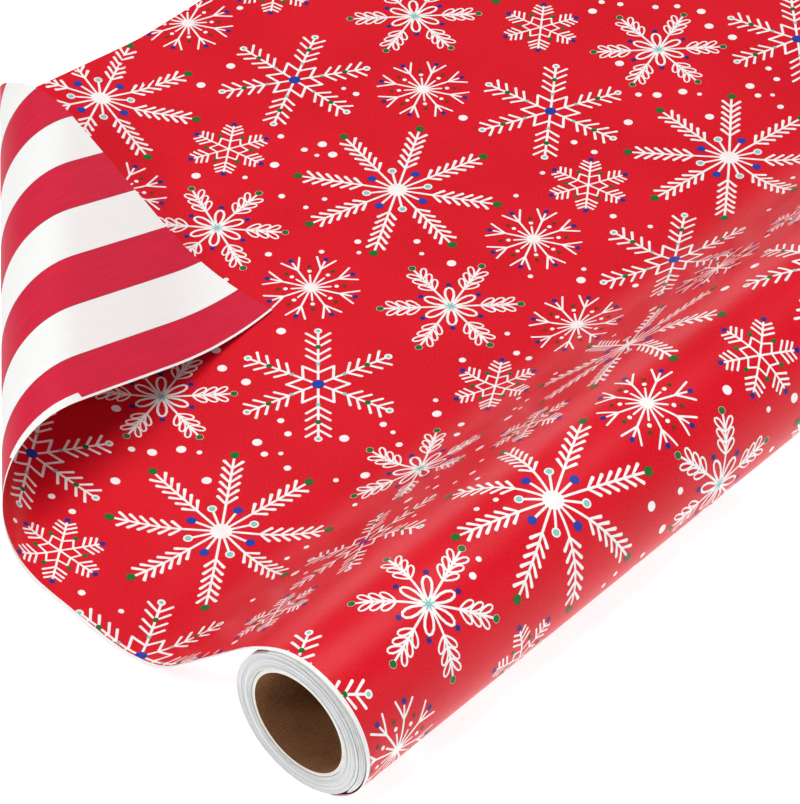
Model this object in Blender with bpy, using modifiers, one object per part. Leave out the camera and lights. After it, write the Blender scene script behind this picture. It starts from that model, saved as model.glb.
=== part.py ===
"""Roll of reversible gift wrap: a three-ply card core, the wound paper, and one length drawn off it.

Run with: blender --background --python part.py

Frame: +X along the roll from its near end, +Y the way the paper is drawn off, +Z up. The origin is on the
floor under the middle of the whole object. Everything is in metres and radians.

The drawn-off length is one strip of paper. Its flat pattern has two coordinates: s, across the strip from
its near side edge, and t, along the strip. Where the strip lies on the floor, t is the distance from the
roll's axis. The strip goes round the roll as a loose outer turn, leaves it near the top, comes down to
the floor, and has its near corner turned back in a curl.
"""
import math

import bmesh
import bpy
from mathutils import Matrix, Vector

# ---- the paper and the core
PAPER_WIDTH = 0.762
CORE_BORE_RADIUS = 0.020
CORE_PLY = 0.00040
PLY_GAP = 0.00003
TAPE_THICKNESS = 0.00008
TAPE_GAP = 0.00006
WOUND_RADIUS = 0.0279
SHEET_THICKNESS = 0.0003
REACH = 0.3406              # roll axis to the free end, along the floor
TOUCH_GAP = 0.0003          # between neighbouring solids
CORE_INSET = 0.0005         # the core ends this far inside the paper's ends

# ---- round solids
ROUND_STEPS = 48
ROUND_STEP = 2 * math.pi / ROUND_STEPS
TAPE_STEPS = 7              # facets that the start tape covers

# ---- the loose outer turn and the way down to the floor
LOOSE_RADIUS = 0.0289
LOOSE_OFFSET_Y = -0.0028    # centre of the loose turn, from the roll's axis
LOOSE_OFFSET_Z = 0.0021
LOOSE_END_ANGLE = math.radians(240)      # where the loose turn meets the wound paper again
LEAVE_SLOPE = math.radians(26.4)         # how far the strip has turned down where it leaves the turn
BROW_RADIUS = 0.0766
FALL_SLOPE = math.radians(43)
LANDING_RADIUS = 0.054
LOOSE_ARCS = 4              # solids that the loose turn is made in
LOOSE_ARC_ROWS = 8

# ---- the turned-back corner
RULING_ANGLE = math.radians(46.6)        # direction of the curl's straight lines, from +X
CURL_START_T = 0.0452                    # where the first of them crosses the near side edge
LIFT_RADIUS = 0.050
LIFT_ANGLE = math.radians(11.3)
RISE_LENGTH = 0.0444
CURL_RADIUS = 0.0172
CURL_ANGLE = math.radians(205)
FLAP_LENGTH = 0.0457
FLATTEN_RADIUS = 0.060
FLATTEN_ANGLE = math.radians(54.5)
BEND_RAMP = 0.012                        # length over which one curvature passes into the next
CREASE_LENGTH = 0.0165                   # the last part of the curl, which flexes when the corner lifts
TIP_BLUNT = 0.0008
TRACE_STEP = 0.0005

# ---- worked out from the above
AXIS_Z = WOUND_RADIUS * math.cos(ROUND_STEP / 2)
BACK_Y = LOOSE_OFFSET_Y - LOOSE_RADIUS - SHEET_THICKNESS / 2
AXIS_Y = -(REACH + BACK_Y) / 2
NEAR_X = -PAPER_WIDTH / 2
CORE_RADIUS = CORE_BORE_RADIUS + 3 * CORE_PLY + 2 * PLY_GAP
TAPE_RADIUS = CORE_RADIUS + TAPE_GAP + TAPE_THICKNESS / 2
WOUND_BORE_RADIUS = TAPE_RADIUS + TAPE_THICKNESS / 2 + TAPE_GAP
CURL_FROM_Q = LIFT_RADIUS * LIFT_ANGLE + RISE_LENGTH
CURL_TO_Q = CURL_FROM_Q + CURL_RADIUS * CURL_ANGLE
FLATTEN_FROM_Q = CURL_TO_Q + FLAP_LENGTH
TIP_Q = (REACH - CURL_START_T) * math.cos(RULING_ANGLE)


def clear_scene():
    for obj in list(bpy.data.objects):
        bpy.data.objects.remove(obj, do_unlink=True)


def material(name, colour, roughness):
    mat = bpy.data.materials.new(name)
    mat.use_nodes = True
    shader = mat.node_tree.nodes["Principled BSDF"]
    shader.inputs["Base Color"].default_value = (*colour, 1.0)
    shader.inputs["Roughness"].default_value = roughness
    shader.inputs["Metallic"].default_value = 0.0
    return mat


def add_object(name, mesh, mat, collection):
    mesh.materials.append(mat)
    obj = bpy.data.objects.new(name, mesh)
    collection.objects.link(obj)
    return obj


# ---- the strip's shape ---------------------------------------------------------------------------------

def ease(value):
    value = min(max(value, 0.0), 1.0)
    return value * value * (3 - 2 * value)


def curvature(q):
    """Curvature of the turned-back corner at the distance q past the first line of the bend."""
    def past(edge):
        return ease((q - edge) / BEND_RAMP + 0.5)
    half = BEND_RAMP / 2
    lift = past(half) - past(LIFT_RADIUS * LIFT_ANGLE + half)
    curl = past(CURL_FROM_Q) - past(CURL_TO_Q)
    flatten = past(FLATTEN_FROM_Q) - past(FLATTEN_FROM_Q + FLATTEN_RADIUS * FLATTEN_ANGLE)
    return lift / LIFT_RADIUS + curl / CURL_RADIUS - flatten / FLATTEN_RADIUS


def trace_curl():
    """Points of the corner's section, one each TRACE_STEP: (run, height, direction)."""
    run, height, turn = 0.0, 0.0, 0.0
    points = [(run, height, turn)]
    for step in range(int(TIP_Q / TRACE_STEP) + 2):
        bend = curvature((step + 0.5) * TRACE_STEP) * TRACE_STEP
        run += math.cos(turn + bend / 2) * TRACE_STEP
        height += math.sin(turn + bend / 2) * TRACE_STEP
        turn += bend
        points.append((run, height, turn))
    return points


CURL_POINTS = trace_curl()


def curl_at(q):
    if q <= 0:
        return q, 0.0, 0.0
    place = q / TRACE_STEP
    index = min(int(place), len(CURL_POINTS) - 2)
    part = place - index
    low, high = CURL_POINTS[index], CURL_POINTS[index + 1]
    return tuple(a + (b - a) * part for a, b in zip(low, high))


def turned(length, radius, start, slope):
    """End of an arc: start is a (y, z) point, slope the downward angle there, radius < 0 turns up."""
    end_slope = slope + length / radius
    y = start[0] + radius * (math.sin(end_slope) - math.sin(slope))
    z = start[1] + radius * (math.cos(end_slope) - math.cos(slope))
    return (y, z), end_slope


def leave_point():
    angle = math.pi / 2 - LEAVE_SLOPE
    y = LOOSE_OFFSET_Y + LOOSE_RADIUS * math.cos(angle)
    return y, AXIS_Z + LOOSE_OFFSET_Z + LOOSE_RADIUS * math.sin(angle)


SHEET_Z = SHEET_THICKNESS / 2
BROW_LENGTH = BROW_RADIUS * (FALL_SLOPE - LEAVE_SLOPE)
BROW_END = turned(BROW_LENGTH, BROW_RADIUS, leave_point(), LEAVE_SLOPE)[0]
LANDING_LENGTH = LANDING_RADIUS * FALL_SLOPE
LANDING_DROP = LANDING_RADIUS * (1 - math.cos(FALL_SLOPE))
FALL_LENGTH = (BROW_END[1] - SHEET_Z - LANDING_DROP) / math.sin(FALL_SLOPE)
LAND_T = BROW_END[0] + FALL_LENGTH * math.cos(FALL_SLOPE) + LANDING_RADIUS * math.sin(FALL_SLOPE)
FALL_FROM_T = LAND_T - LANDING_LENGTH - FALL_LENGTH
LEAVE_T = FALL_FROM_T - BROW_LENGTH
LOOSE_LENGTH = LOOSE_RADIUS * (LOOSE_END_ANGLE - math.pi / 2 + LEAVE_SLOPE)
LOOSE_FROM_T = LEAVE_T - LOOSE_LENGTH


def strip_section(t):
    """The strip's (y, z) and downward slope at t, with the roll's axis at y = 0 and no corner turned."""
    if t >= LAND_T:
        return (t, SHEET_Z), 0.0
    if t >= LAND_T - LANDING_LENGTH:
        slope = (LAND_T - t) / LANDING_RADIUS
        return (LAND_T - LANDING_RADIUS * math.sin(slope),
                SHEET_Z + LANDING_RADIUS * (1 - math.cos(slope))), slope
    if t >= FALL_FROM_T:
        run = t - FALL_FROM_T
        place = (BROW_END[0] + run * math.cos(FALL_SLOPE), BROW_END[1] - run * math.sin(FALL_SLOPE))
        return place, FALL_SLOPE
    if t >= LEAVE_T:
        return turned(t - LEAVE_T, BROW_RADIUS, leave_point(), LEAVE_SLOPE)
    return turned(t - LEAVE_T, LOOSE_RADIUS, leave_point(), LEAVE_SLOPE)


def strip_point(s, t):
    """Where the point (s, t) of the flat strip lies on the finished object."""
    across = Vector((math.cos(RULING_ANGLE), math.sin(RULING_ANGLE)))
    inward = Vector((-across.y, across.x))
    flat = Vector((s, t - CURL_START_T))
    run, height, _ = curl_at(flat.dot(inward))
    flat = across * flat.dot(across) + inward * run
    (y, z), slope = strip_section(flat.y + CURL_START_T)
    return Vector((NEAR_X + flat.x, AXIS_Y + y + height * math.sin(slope), z + height * math.cos(slope)))


def ruling_ends(q):
    """The (s, t) ends of the curl's straight line at q, within the part of the strip past LAND_T."""
    t_low = max(CURL_START_T + q / math.cos(RULING_ANGLE), LAND_T + TOUCH_GAP)

    def s_at(t):
        return max(((t - CURL_START_T) * math.cos(RULING_ANGLE) - q) / math.sin(RULING_ANGLE), 0.0)
    return (s_at(t_low), t_low), (s_at(REACH), REACH)


# ---- solids --------------------------------------------------------------------------------------------

def tube(name, inner, outer, length, mat, collection):
    """A tube about the roll's axis: a rectangular profile turned by a Screw modifier."""
    mesh = bpy.data.meshes.new(name)
    half = length / 2
    corners = [(outer, 0, half), (outer, 0, -half), (inner, 0, -half), (inner, 0, half)]
    mesh.from_pydata(corners, [(0, 1), (1, 2), (2, 3), (3, 0)], [])
    obj = add_object(name, mesh, mat, collection)
    screw = obj.modifiers.new("turn", "SCREW")
    screw.axis = "Z"
    screw.steps = ROUND_STEPS
    screw.render_steps = ROUND_STEPS
    screw.use_merge_vertices = True
    screw.merge_threshold = 0.00001
    screw.use_smooth_shade = True
    lay_down = Matrix.Rotation(math.pi / 2, 4, "Y") @ Matrix.Rotation(ROUND_STEP / 2, 4, "Z")
    obj.matrix_world = Matrix.Translation((0, AXIS_Y, AXIS_Z)) @ lay_down
    return obj


def bent_sheet(name, columns, rows, place, thickness, mat, collection):
    """A grid whose vertices are carried onto a curved surface by place(u, v), then given a thickness."""
    grid = bmesh.new()
    bmesh.ops.create_grid(grid, x_segments=columns, y_segments=rows, size=0.5)
    for vert in grid.verts:
        vert.co = place(vert.co.x + 0.5, vert.co.y + 0.5)
    mesh = bpy.data.meshes.new(name)
    grid.to_mesh(mesh)
    grid.free()
    mesh.shade_smooth()
    obj = add_object(name, mesh, mat, collection)
    solidify = obj.modifiers.new("thickness", "SOLIDIFY")
    solidify.thickness = thickness
    solidify.offset = 0.0
    solidify.use_even_offset = True
    return obj


def mix(low, high, part):
    return low + (high - low) * part


def core_plies(mat, collection):
    names = ("core_inner_ply", "core_middle_ply", "core_outer_ply")
    for index, name in enumerate(names):
        inner = CORE_BORE_RADIUS + index * (CORE_PLY + PLY_GAP)
        tube(name, inner, inner + CORE_PLY, PAPER_WIDTH - 2 * CORE_INSET, mat, collection)


def start_tape(mat, collection):
    """The strip of double-sided tape that holds the paper's first turn to the core, all along it."""
    length = PAPER_WIDTH - 4 * CORE_INSET

    def place(u, v):
        angle = math.pi / 2 + ROUND_STEP / 2 + round(v * TAPE_STEPS) * ROUND_STEP
        y, z = TAPE_RADIUS * math.cos(angle), TAPE_RADIUS * math.sin(angle)
        return Vector(((u - 0.5) * length, AXIS_Y + y, AXIS_Z + z))
    bent_sheet("start_tape", 1, TAPE_STEPS, place, TAPE_THICKNESS, mat, collection)


def loose_outer_turn(mat, collection):
    """The loose turn as a row of short arcs, each shallow enough to collide as the thin shell it is."""
    length = (LEAVE_T - LOOSE_FROM_T) / LOOSE_ARCS
    for index in range(LOOSE_ARCS):
        t_low = LOOSE_FROM_T + index * length

        def place(u, v):
            return strip_point(u * PAPER_WIDTH, mix(t_low, t_low + length - TOUCH_GAP, v))
        bent_sheet(f"loose_turn_{index + 1}", 1, LOOSE_ARC_ROWS, place, SHEET_THICKNESS, mat, collection)


def sheet_drape(mat, collection):
    """From the roll down to the floor: over the brow, down the straight fall, and out of it.

    The near edge starts to lift with the corner as the strip lands, so that part is a solid of its own."""
    lifted = (LAND_T - CURL_START_T) / math.tan(RULING_ANGLE)
    landing = LAND_T - LANDING_LENGTH
    middle = LAND_T - LANDING_LENGTH / 2
    whole = (0.0, PAPER_WIDTH)
    near = (0.0, lifted - TOUCH_GAP)
    rest = (lifted, PAPER_WIDTH)
    drape_piece("sheet_brow", whole, (LEAVE_T, FALL_FROM_T - TOUCH_GAP), 1, 6, mat, collection)
    drape_piece("sheet_fall", whole, (FALL_FROM_T, landing - TOUCH_GAP), 1, 8, mat, collection)
    drape_piece("sheet_landing_near", near, (landing, LAND_T), 4, 10, mat, collection)
    drape_piece("sheet_landing_upper", rest, (landing, middle - TOUCH_GAP), 1, 5, mat, collection)
    drape_piece("sheet_landing_lower", rest, (middle, LAND_T), 1, 5, mat, collection)


def drape_piece(name, s_range, t_range, columns, rows, mat, collection):
    def place(u, v):
        return strip_point(mix(*s_range, u), mix(*t_range, v))
    bent_sheet(name, columns, rows, place, SHEET_THICKNESS, mat, collection)


def sheet_flat(mat, collection):
    """The part that lies flat: a four-sided outline, cut off at the curl's first line."""
    edge = TOUCH_GAP / math.sin(RULING_ANGLE)
    (s_low, t_low), (s_high, t_high) = ruling_ends(0.0)
    outline = [(s_low + edge, t_low), (PAPER_WIDTH, t_low), (PAPER_WIDTH, t_high), (s_high + edge, t_high)]
    curve = bpy.data.curves.new("sheet_flat", "CURVE")
    curve.dimensions = "2D"
    curve.fill_mode = "BOTH"
    curve.extrude = SHEET_THICKNESS / 2
    spline = curve.splines.new("POLY")
    spline.points.add(len(outline) - 1)
    for point, (s, t) in zip(spline.points, outline):
        point.co = (NEAR_X + s, AXIS_Y + t, 0.0, 1.0)
    spline.use_cyclic_u = True
    curve.materials.append(mat)
    obj = bpy.data.objects.new("sheet_flat", curve)
    obj.location = (0, 0, SHEET_Z)
    collection.objects.link(obj)


def corner_piece(name, q_from, q_to, rows, mat, collection):
    """The part of the turned-back corner between two of the curl's straight lines."""
    def place(u, v):
        (s_low, t_low), (s_high, t_high) = ruling_ends(mix(q_from, q_to, v))
        return strip_point(mix(s_low, s_high, u), mix(t_low, t_high, u))
    bent_sheet(name, 1, rows, place, SHEET_THICKNESS, mat, collection)


def turned_back_corner(mat, collection):
    crease_from = CURL_TO_Q - CREASE_LENGTH
    corner_piece("corner_bend", 0.0, crease_from - TOUCH_GAP, 30, mat, collection)
    corner_piece("corner_crease", crease_from, CURL_TO_Q, 8, mat, collection)
    corner_piece("turned_corner", CURL_TO_Q + TOUCH_GAP, TIP_Q - TIP_BLUNT, 14, mat, collection)


def curl_centre():
    """A point on the curl's axis, about which the turned-back corner lifts."""
    middle = (CURL_FROM_Q + CURL_TO_Q) / 2
    run, height, turn = curl_at(middle)
    run -= CURL_RADIUS * math.sin(turn)
    height += CURL_RADIUS * math.cos(turn)
    across = Vector((math.cos(RULING_ANGLE), math.sin(RULING_ANGLE)))
    inward = Vector((-across.y, across.x))
    flat = inward * run
    return Vector((NEAR_X + flat.x, AXIS_Y + CURL_START_T + flat.y, SHEET_Z + height))


def main():
    clear_scene()
    collection = bpy.data.collections.new("gift_wrap_roll")
    bpy.context.scene.collection.children.link(collection)
    kraft = material("kraft_core", (0.36, 0.22, 0.12), 0.85)
    printed = material("printed_paper", (0.72, 0.03, 0.04), 0.42)
    tape = material("clear_tape", (0.85, 0.84, 0.78), 0.35)
    core_plies(kraft, collection)
    start_tape(tape, collection)
    tube("wound_paper", WOUND_BORE_RADIUS, WOUND_RADIUS, PAPER_WIDTH, printed, collection)
    loose_outer_turn(printed, collection)
    sheet_drape(printed, collection)
    sheet_flat(printed, collection)
    turned_back_corner(printed, collection)
    print("roll axis", (0.0, AXIS_Y, AXIS_Z), "curl axis", tuple(curl_centre()), "land", LAND_T)


main()
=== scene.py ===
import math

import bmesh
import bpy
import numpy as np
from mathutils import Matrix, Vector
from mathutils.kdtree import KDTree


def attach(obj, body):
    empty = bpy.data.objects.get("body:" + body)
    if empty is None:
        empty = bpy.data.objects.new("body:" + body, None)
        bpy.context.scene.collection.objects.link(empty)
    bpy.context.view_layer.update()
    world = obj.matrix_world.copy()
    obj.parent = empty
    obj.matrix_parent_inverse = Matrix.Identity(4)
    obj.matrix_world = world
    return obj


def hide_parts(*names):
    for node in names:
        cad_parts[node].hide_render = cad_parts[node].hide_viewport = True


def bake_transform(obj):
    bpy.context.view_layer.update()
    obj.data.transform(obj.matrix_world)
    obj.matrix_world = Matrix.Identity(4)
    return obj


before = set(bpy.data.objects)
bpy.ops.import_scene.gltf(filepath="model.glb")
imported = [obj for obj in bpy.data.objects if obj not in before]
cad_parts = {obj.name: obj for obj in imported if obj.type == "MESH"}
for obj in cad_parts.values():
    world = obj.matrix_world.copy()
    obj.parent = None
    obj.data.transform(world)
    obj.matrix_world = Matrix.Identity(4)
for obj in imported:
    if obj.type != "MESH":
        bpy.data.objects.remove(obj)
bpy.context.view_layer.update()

# Looks for a roll of reversible gift wrap with one length drawn off it and a corner turned back.
#
# The drawn-off length is one strip of thin paper. It is cut out flat here, in the coordinates of its flat
# pattern: s, across the strip from its near side edge, and t, along it from under the roll's axis.
# strip_point then carries the flat pattern onto the CAD model's shape, so its numbers are part.py's.
# The print is laid out on the same flat pattern, in millimetres, and bent with the paper. All lengths are in
# metres and angles in radians, except where a name says otherwise.

MM = 0.001
SEED = 7

# ---- the strip's shape, as in part.py
PAPER_WIDTH = 0.762
REACH = 0.3406
AXIS_Y = -0.154375
AXIS_Z = 0.02784
NEAR_X = -PAPER_WIDTH / 2
SHEET_Z = 0.00015
LOOSE_RADIUS = 0.0289
LOOSE_OFFSET_Y = -0.0028
LOOSE_OFFSET_Z = 0.0021
LOOSE_END_ANGLE = math.radians(246)
LEAVE_SLOPE = math.radians(26.4)
BROW_RADIUS = 0.0766
FALL_SLOPE = math.radians(43)
LANDING_RADIUS = 0.054
RULING_ANGLE = math.radians(46.6)
CURL_START_T = 0.0452
LIFT_RADIUS = 0.050
LIFT_ANGLE = math.radians(11.3)
RISE_LENGTH = 0.0444
CURL_RADIUS = 0.0172
CURL_ANGLE = math.radians(205)
FLAP_LENGTH = 0.0457
FLATTEN_RADIUS = 0.060
FLATTEN_ANGLE = math.radians(54.5)
BEND_RAMP = 0.012
TRACE_STEP = 0.0005
CURL_FROM_Q = LIFT_RADIUS * LIFT_ANGLE + RISE_LENGTH
CURL_TO_Q = CURL_FROM_Q + CURL_RADIUS * CURL_ANGLE
FLATTEN_FROM_Q = CURL_TO_Q + FLAP_LENGTH
TIP_Q = (REACH - CURL_START_T) * math.cos(RULING_ANGLE)

# ---- the paper
PAPER_THICKNESS = 0.00012
NORMAL_STEP = 0.0001  # to either side of a point, to work out which way the paper faces there
FINE_TO_S = 0.23  # the grid across the strip is fine as far as here, just past the turned corner
BEND_ROW = 0.9 * MM  # between the grid's rows in the curl, and in the flap
FLAP_ROW = 2.5 * MM
MARGIN = 1.7 * MM  # unprinted strip along both side edges of the front
REVERSE_MARGIN = 1.0 * MM  # and of the reverse
PRINT_INSET = 0.2 * MM  # between the snowflakes and the strip's two ends, at least
STRIPE_FIRST = 17.5 * MM  # reverse side: the first red stripe's inner edge
STRIPE_WIDTH = 19.9 * MM
STRIPE_LINE = 0.3 * MM  # a thin darker line where two stripes' inks overlap
LABEL_WIDTH = 3.3 * MM  # plain white patch printed beside the edge of the reverse
LABEL_FROM_T = 0.178
LABEL_TO_T = 0.219
INK_LIFT = 0.00003  # the lowest printed mark over the paper
INK_STEP = 0.000003  # between marks that cross, so that no two lie in one plane
FRONT, PLAIN, CRIMSON_STRIPE, WHITE_STRIPE, CUT_EDGE, STRIPE_OVERLAP = range(6)  # material slots

# ---- the roll
CORE_BORE_RADIUS = 0.020
CORE_PLY = 0.00040
PLY_GAP = 0.00003
CORE_RADIUS = CORE_BORE_RADIUS + 3 * CORE_PLY + 2 * PLY_GAP
WOUND_BORE_RADIUS = CORE_RADIUS + 0.0002
CORE_INSET = 0.0005
ROUND_STEPS = 240
LAYER_COUNT = 34
LAYER_SHIFT = 0.25 * MM  # the most that a layer's end stands out or back
LAYER_LEAN = 0.16 * MM  # and the most that it leans
SPIRAL_PITCH = 0.060  # of the core's plies, for one turn
SLACK_TURNS = 13
SLACK_GAP = 0.00016  # a slack turn's radius over the wound paper's
SLACK_GROWTH = 0.0002  # and what is added to it by degrees towards the loose turn
SLACK_INSET = 0.4 * MM  # the most that a slack turn stands back at the roll's ends
SLACK_FROM = (58, 6)  # degrees: the least angle that a slack turn starts at, and its play
SLACK_TO = (222, 8)  # and the greatest that it ends at

# ---- the camera
CAMERA_PLACE = (-1.0298, -0.785375, 0.9741)
CAMERA_YAW = 0.8375  # from +Y towards +X
CAMERA_PITCH = 0.7254  # below the horizon
CAMERA_LENS = 174.1

# ---- light
FLOOR_GLOW = 0.80
SKY_LOW = 0.95  # brightness of the surroundings near the horizon, and above it
SKY_HIGH = 0.16

# ---- colours, linear
RED = (0.56, 0.0060, 0.016)
RED_DEEP = (0.47, 0.0020, 0.010)
CRIMSON = (0.56, 0.008, 0.038)
WHITE_PAPER = (0.76, 0.76, 0.75)
KRAFT = {"inner": (0.255, 0.115, 0.050), "middle": (0.36, 0.21, 0.11), "outer": (0.62, 0.52, 0.40)}
INKS = {
    "white": (0.84, 0.80, 0.79),
    "green": (0.006, 0.130, 0.022),
    "aqua": (0.22, 0.52, 0.49),
    "blue": (0.008, 0.040, 0.340),
    "navy": (0.030, 0.014, 0.150),
    "purple": (0.22, 0.03, 0.20),
    "olive": (0.10, 0.045, 0.008),
}


# ======== the strip's shape

def ease(value):
    value = np.clip(value, 0.0, 1.0)
    return value * value * (3 - 2 * value)


def curvature(q):
    """Curvature of the turned-back corner at the distance q past the first line of the bend."""
    def past(edge):
        return ease((q - edge) / BEND_RAMP + 0.5)
    half = BEND_RAMP / 2
    lift = past(half) - past(LIFT_RADIUS * LIFT_ANGLE + half)
    curl = past(CURL_FROM_Q) - past(CURL_TO_Q)
    flatten = past(FLATTEN_FROM_Q) - past(FLATTEN_FROM_Q + FLATTEN_RADIUS * FLATTEN_ANGLE)
    return lift / LIFT_RADIUS + curl / CURL_RADIUS - flatten / FLATTEN_RADIUS


def running_sum(steps):
    return np.concatenate([[0.0], np.cumsum(steps)])


def trace_curl():
    """The corner's section as arrays: the distance q along it, its run, height and direction."""
    count = int(TIP_Q / TRACE_STEP) + 2
    bend = curvature((np.arange(count) + 0.5) * TRACE_STEP) * TRACE_STEP
    turn = running_sum(bend)
    middle = turn[:-1] + bend / 2
    run = running_sum(np.cos(middle) * TRACE_STEP)
    height = running_sum(np.sin(middle) * TRACE_STEP)
    return np.arange(count + 1) * TRACE_STEP, run, height, turn


CURL_Q, CURL_RUN, CURL_HEIGHT, CURL_TURN = trace_curl()


def turned(length, radius, start, slope):
    """End of an arc: start is a (y, z) point and slope the downward angle there."""
    end_slope = slope + length / radius
    y = start[0] + radius * (np.sin(end_slope) - math.sin(slope))
    z = start[1] + radius * (np.cos(end_slope) - math.cos(slope))
    return y, z, end_slope


LEAVE_ANGLE = math.pi / 2 - LEAVE_SLOPE
LEAVE_POINT = (LOOSE_OFFSET_Y + LOOSE_RADIUS * math.cos(LEAVE_ANGLE),
               AXIS_Z + LOOSE_OFFSET_Z + LOOSE_RADIUS * math.sin(LEAVE_ANGLE))
BROW_LENGTH = BROW_RADIUS * (FALL_SLOPE - LEAVE_SLOPE)
BROW_END = turned(BROW_LENGTH, BROW_RADIUS, LEAVE_POINT, LEAVE_SLOPE)
LANDING_LENGTH = LANDING_RADIUS * FALL_SLOPE
LANDING_DROP = LANDING_RADIUS * (1 - math.cos(FALL_SLOPE))
FALL_LENGTH = (BROW_END[1] - SHEET_Z - LANDING_DROP) / math.sin(FALL_SLOPE)
LAND_T = BROW_END[0] + FALL_LENGTH * math.cos(FALL_SLOPE) + LANDING_RADIUS * math.sin(FALL_SLOPE)
FALL_FROM_T = LAND_T - LANDING_LENGTH - FALL_LENGTH
LEAVE_T = FALL_FROM_T - BROW_LENGTH
LOOSE_FROM_T = LEAVE_T - LOOSE_RADIUS * (LOOSE_END_ANGLE - LEAVE_ANGLE)


def strip_section(t):
    """The strip's y, z and downward slope at each t, with the roll's axis at y = 0 and no corner turned."""
    land_slope = (LAND_T - t) / LANDING_RADIUS
    fall = t - FALL_FROM_T
    brow_y, brow_z, brow_slope = turned(t - LEAVE_T, BROW_RADIUS, LEAVE_POINT, LEAVE_SLOPE)
    loose_y, loose_z, loose_slope = turned(t - LEAVE_T, LOOSE_RADIUS, LEAVE_POINT, LEAVE_SLOPE)
    where = [t >= LAND_T, t >= LAND_T - LANDING_LENGTH, t >= FALL_FROM_T, t >= LEAVE_T]
    level = np.zeros_like(t)
    y = [t, LAND_T - LANDING_RADIUS * np.sin(land_slope), BROW_END[0] + fall * math.cos(FALL_SLOPE), brow_y]
    z = [level + SHEET_Z, SHEET_Z + LANDING_RADIUS * (1 - np.cos(land_slope)),
         BROW_END[1] - fall * math.sin(FALL_SLOPE), brow_z]
    slope = [level, land_slope, level + FALL_SLOPE, brow_slope]
    return (np.select(where, y, loose_y), np.select(where, z, loose_z), np.select(where, slope, loose_slope))


COS_RULING = math.cos(RULING_ANGLE)
SIN_RULING = math.sin(RULING_ANGLE)


def fold_distance(s, t):
    """How far each point is past the first line of the bend: the coordinate q."""
    return (t - CURL_START_T) * COS_RULING - s * SIN_RULING


def strip_point(s, t):
    """Where the points (s, t) of the flat strip lie on the finished object."""
    along = s * COS_RULING + (t - CURL_START_T) * SIN_RULING
    q = fold_distance(s, t)
    run = np.where(q > 0, np.interp(q, CURL_Q, CURL_RUN), q)
    height = np.where(q > 0, np.interp(q, CURL_Q, CURL_HEIGHT), 0.0)
    x = along * COS_RULING - run * SIN_RULING
    y, z, slope = strip_section(along * SIN_RULING + run * COS_RULING + CURL_START_T)
    return np.stack([NEAR_X + x, AXIS_Y + y + height * np.sin(slope), z + height * np.cos(slope)], -1)


def strip_surface(s, t, lift):
    """Points at the height lift over the strip's front."""
    across = strip_point(s + NORMAL_STEP, t) - strip_point(s - NORMAL_STEP, t)
    onward = strip_point(s, t + NORMAL_STEP) - strip_point(s, t - NORMAL_STEP)
    normal = np.cross(across, onward)
    normal /= np.linalg.norm(normal, axis=1, keepdims=True)
    return strip_point(s, t) + normal * np.reshape(lift, (-1, 1))


# The bend runs from the foot of the curl to where the paper is first upside down.
BEND_FROM_Q = CURL_FROM_Q - BEND_RAMP / 2
BEND_TO_Q = float(np.interp(math.pi, CURL_TURN[:CURL_TURN.argmax()], CURL_Q[:CURL_TURN.argmax()]))


# ======== materials

class Paint:
    """A Principled material and the few nodes that its patterns are made of."""

    def __init__(self, name, roughness, specular):
        self.material = bpy.data.materials.new(name)
        self.material.use_nodes = True
        self.tree = self.material.node_tree
        self.shader = self.tree.nodes["Principled BSDF"]
        self.shader.inputs["Roughness"].default_value = roughness
        self.shader.inputs["Specular IOR Level"].default_value = specular

    def node(self, kind, settings=(), **inputs):
        made = self.tree.nodes.new(kind)
        for key, value in dict(settings).items():
            setattr(made, key, value)
        for key, value in inputs.items():
            self.feed(made.inputs[key.replace("_", " ")], value)
        return made

    def feed(self, socket, value):
        if isinstance(value, bpy.types.NodeSocket):
            self.tree.links.new(value, socket)
        else:
            socket.default_value = value

    def place(self, attribute, scale=(1.0, 1.0, 1.0)):
        """The attribute's value, stretched: its first two numbers are lengths on the surface."""
        source = self.node("ShaderNodeAttribute", {"attribute_name": attribute})
        return self.node("ShaderNodeMapping", Vector=source.outputs["Vector"], Scale=scale).outputs[0]

    def noise(self, place, scale, detail):
        return self.node("ShaderNodeTexNoise", Vector=place, Scale=scale, Detail=detail).outputs["Fac"]

    def spread(self, value, low, high, to_low, to_high):
        made = self.node("ShaderNodeMapRange", {"clamp": True}, Value=value)
        for socket, number in zip(made.inputs[1:5], (low, high, to_low, to_high)):
            socket.default_value = number
        return made.outputs[0]

    def maths(self, operation, first, second=0.0):
        made = self.node("ShaderNodeMath", {"operation": operation})
        self.feed(made.inputs[0], first)
        self.feed(made.inputs[1], second)
        return made.outputs[0]

    def shade(self, value, low, high, first, second, most=1.0):
        """The first colour, and more of the second, up to most, as value goes from low to high."""
        share = self.spread(value, low, high, 0.0, most)
        made = self.node("ShaderNodeMix", {"data_type": "RGBA"}, Factor=share)
        for socket, colour in zip(made.inputs[6:8], (first, second)):
            self.feed(socket, colour if isinstance(colour, bpy.types.NodeSocket) else (*colour, 1.0))
        return made.outputs[2]

    def colour(self, value):
        self.feed(self.shader.inputs["Base Color"], value)

    def roughness(self, *spread):
        self.feed(self.shader.inputs["Roughness"], self.spread(*spread))

    def bump(self, height, distance):
        made = self.node("ShaderNodeBump", Height=height, Distance=distance, Strength=1.0)
        self.feed(self.shader.inputs["Normal"], made.outputs[0])


def scaled(colour, factor):
    return tuple(min(part * factor, 1.0) for part in colour)


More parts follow.
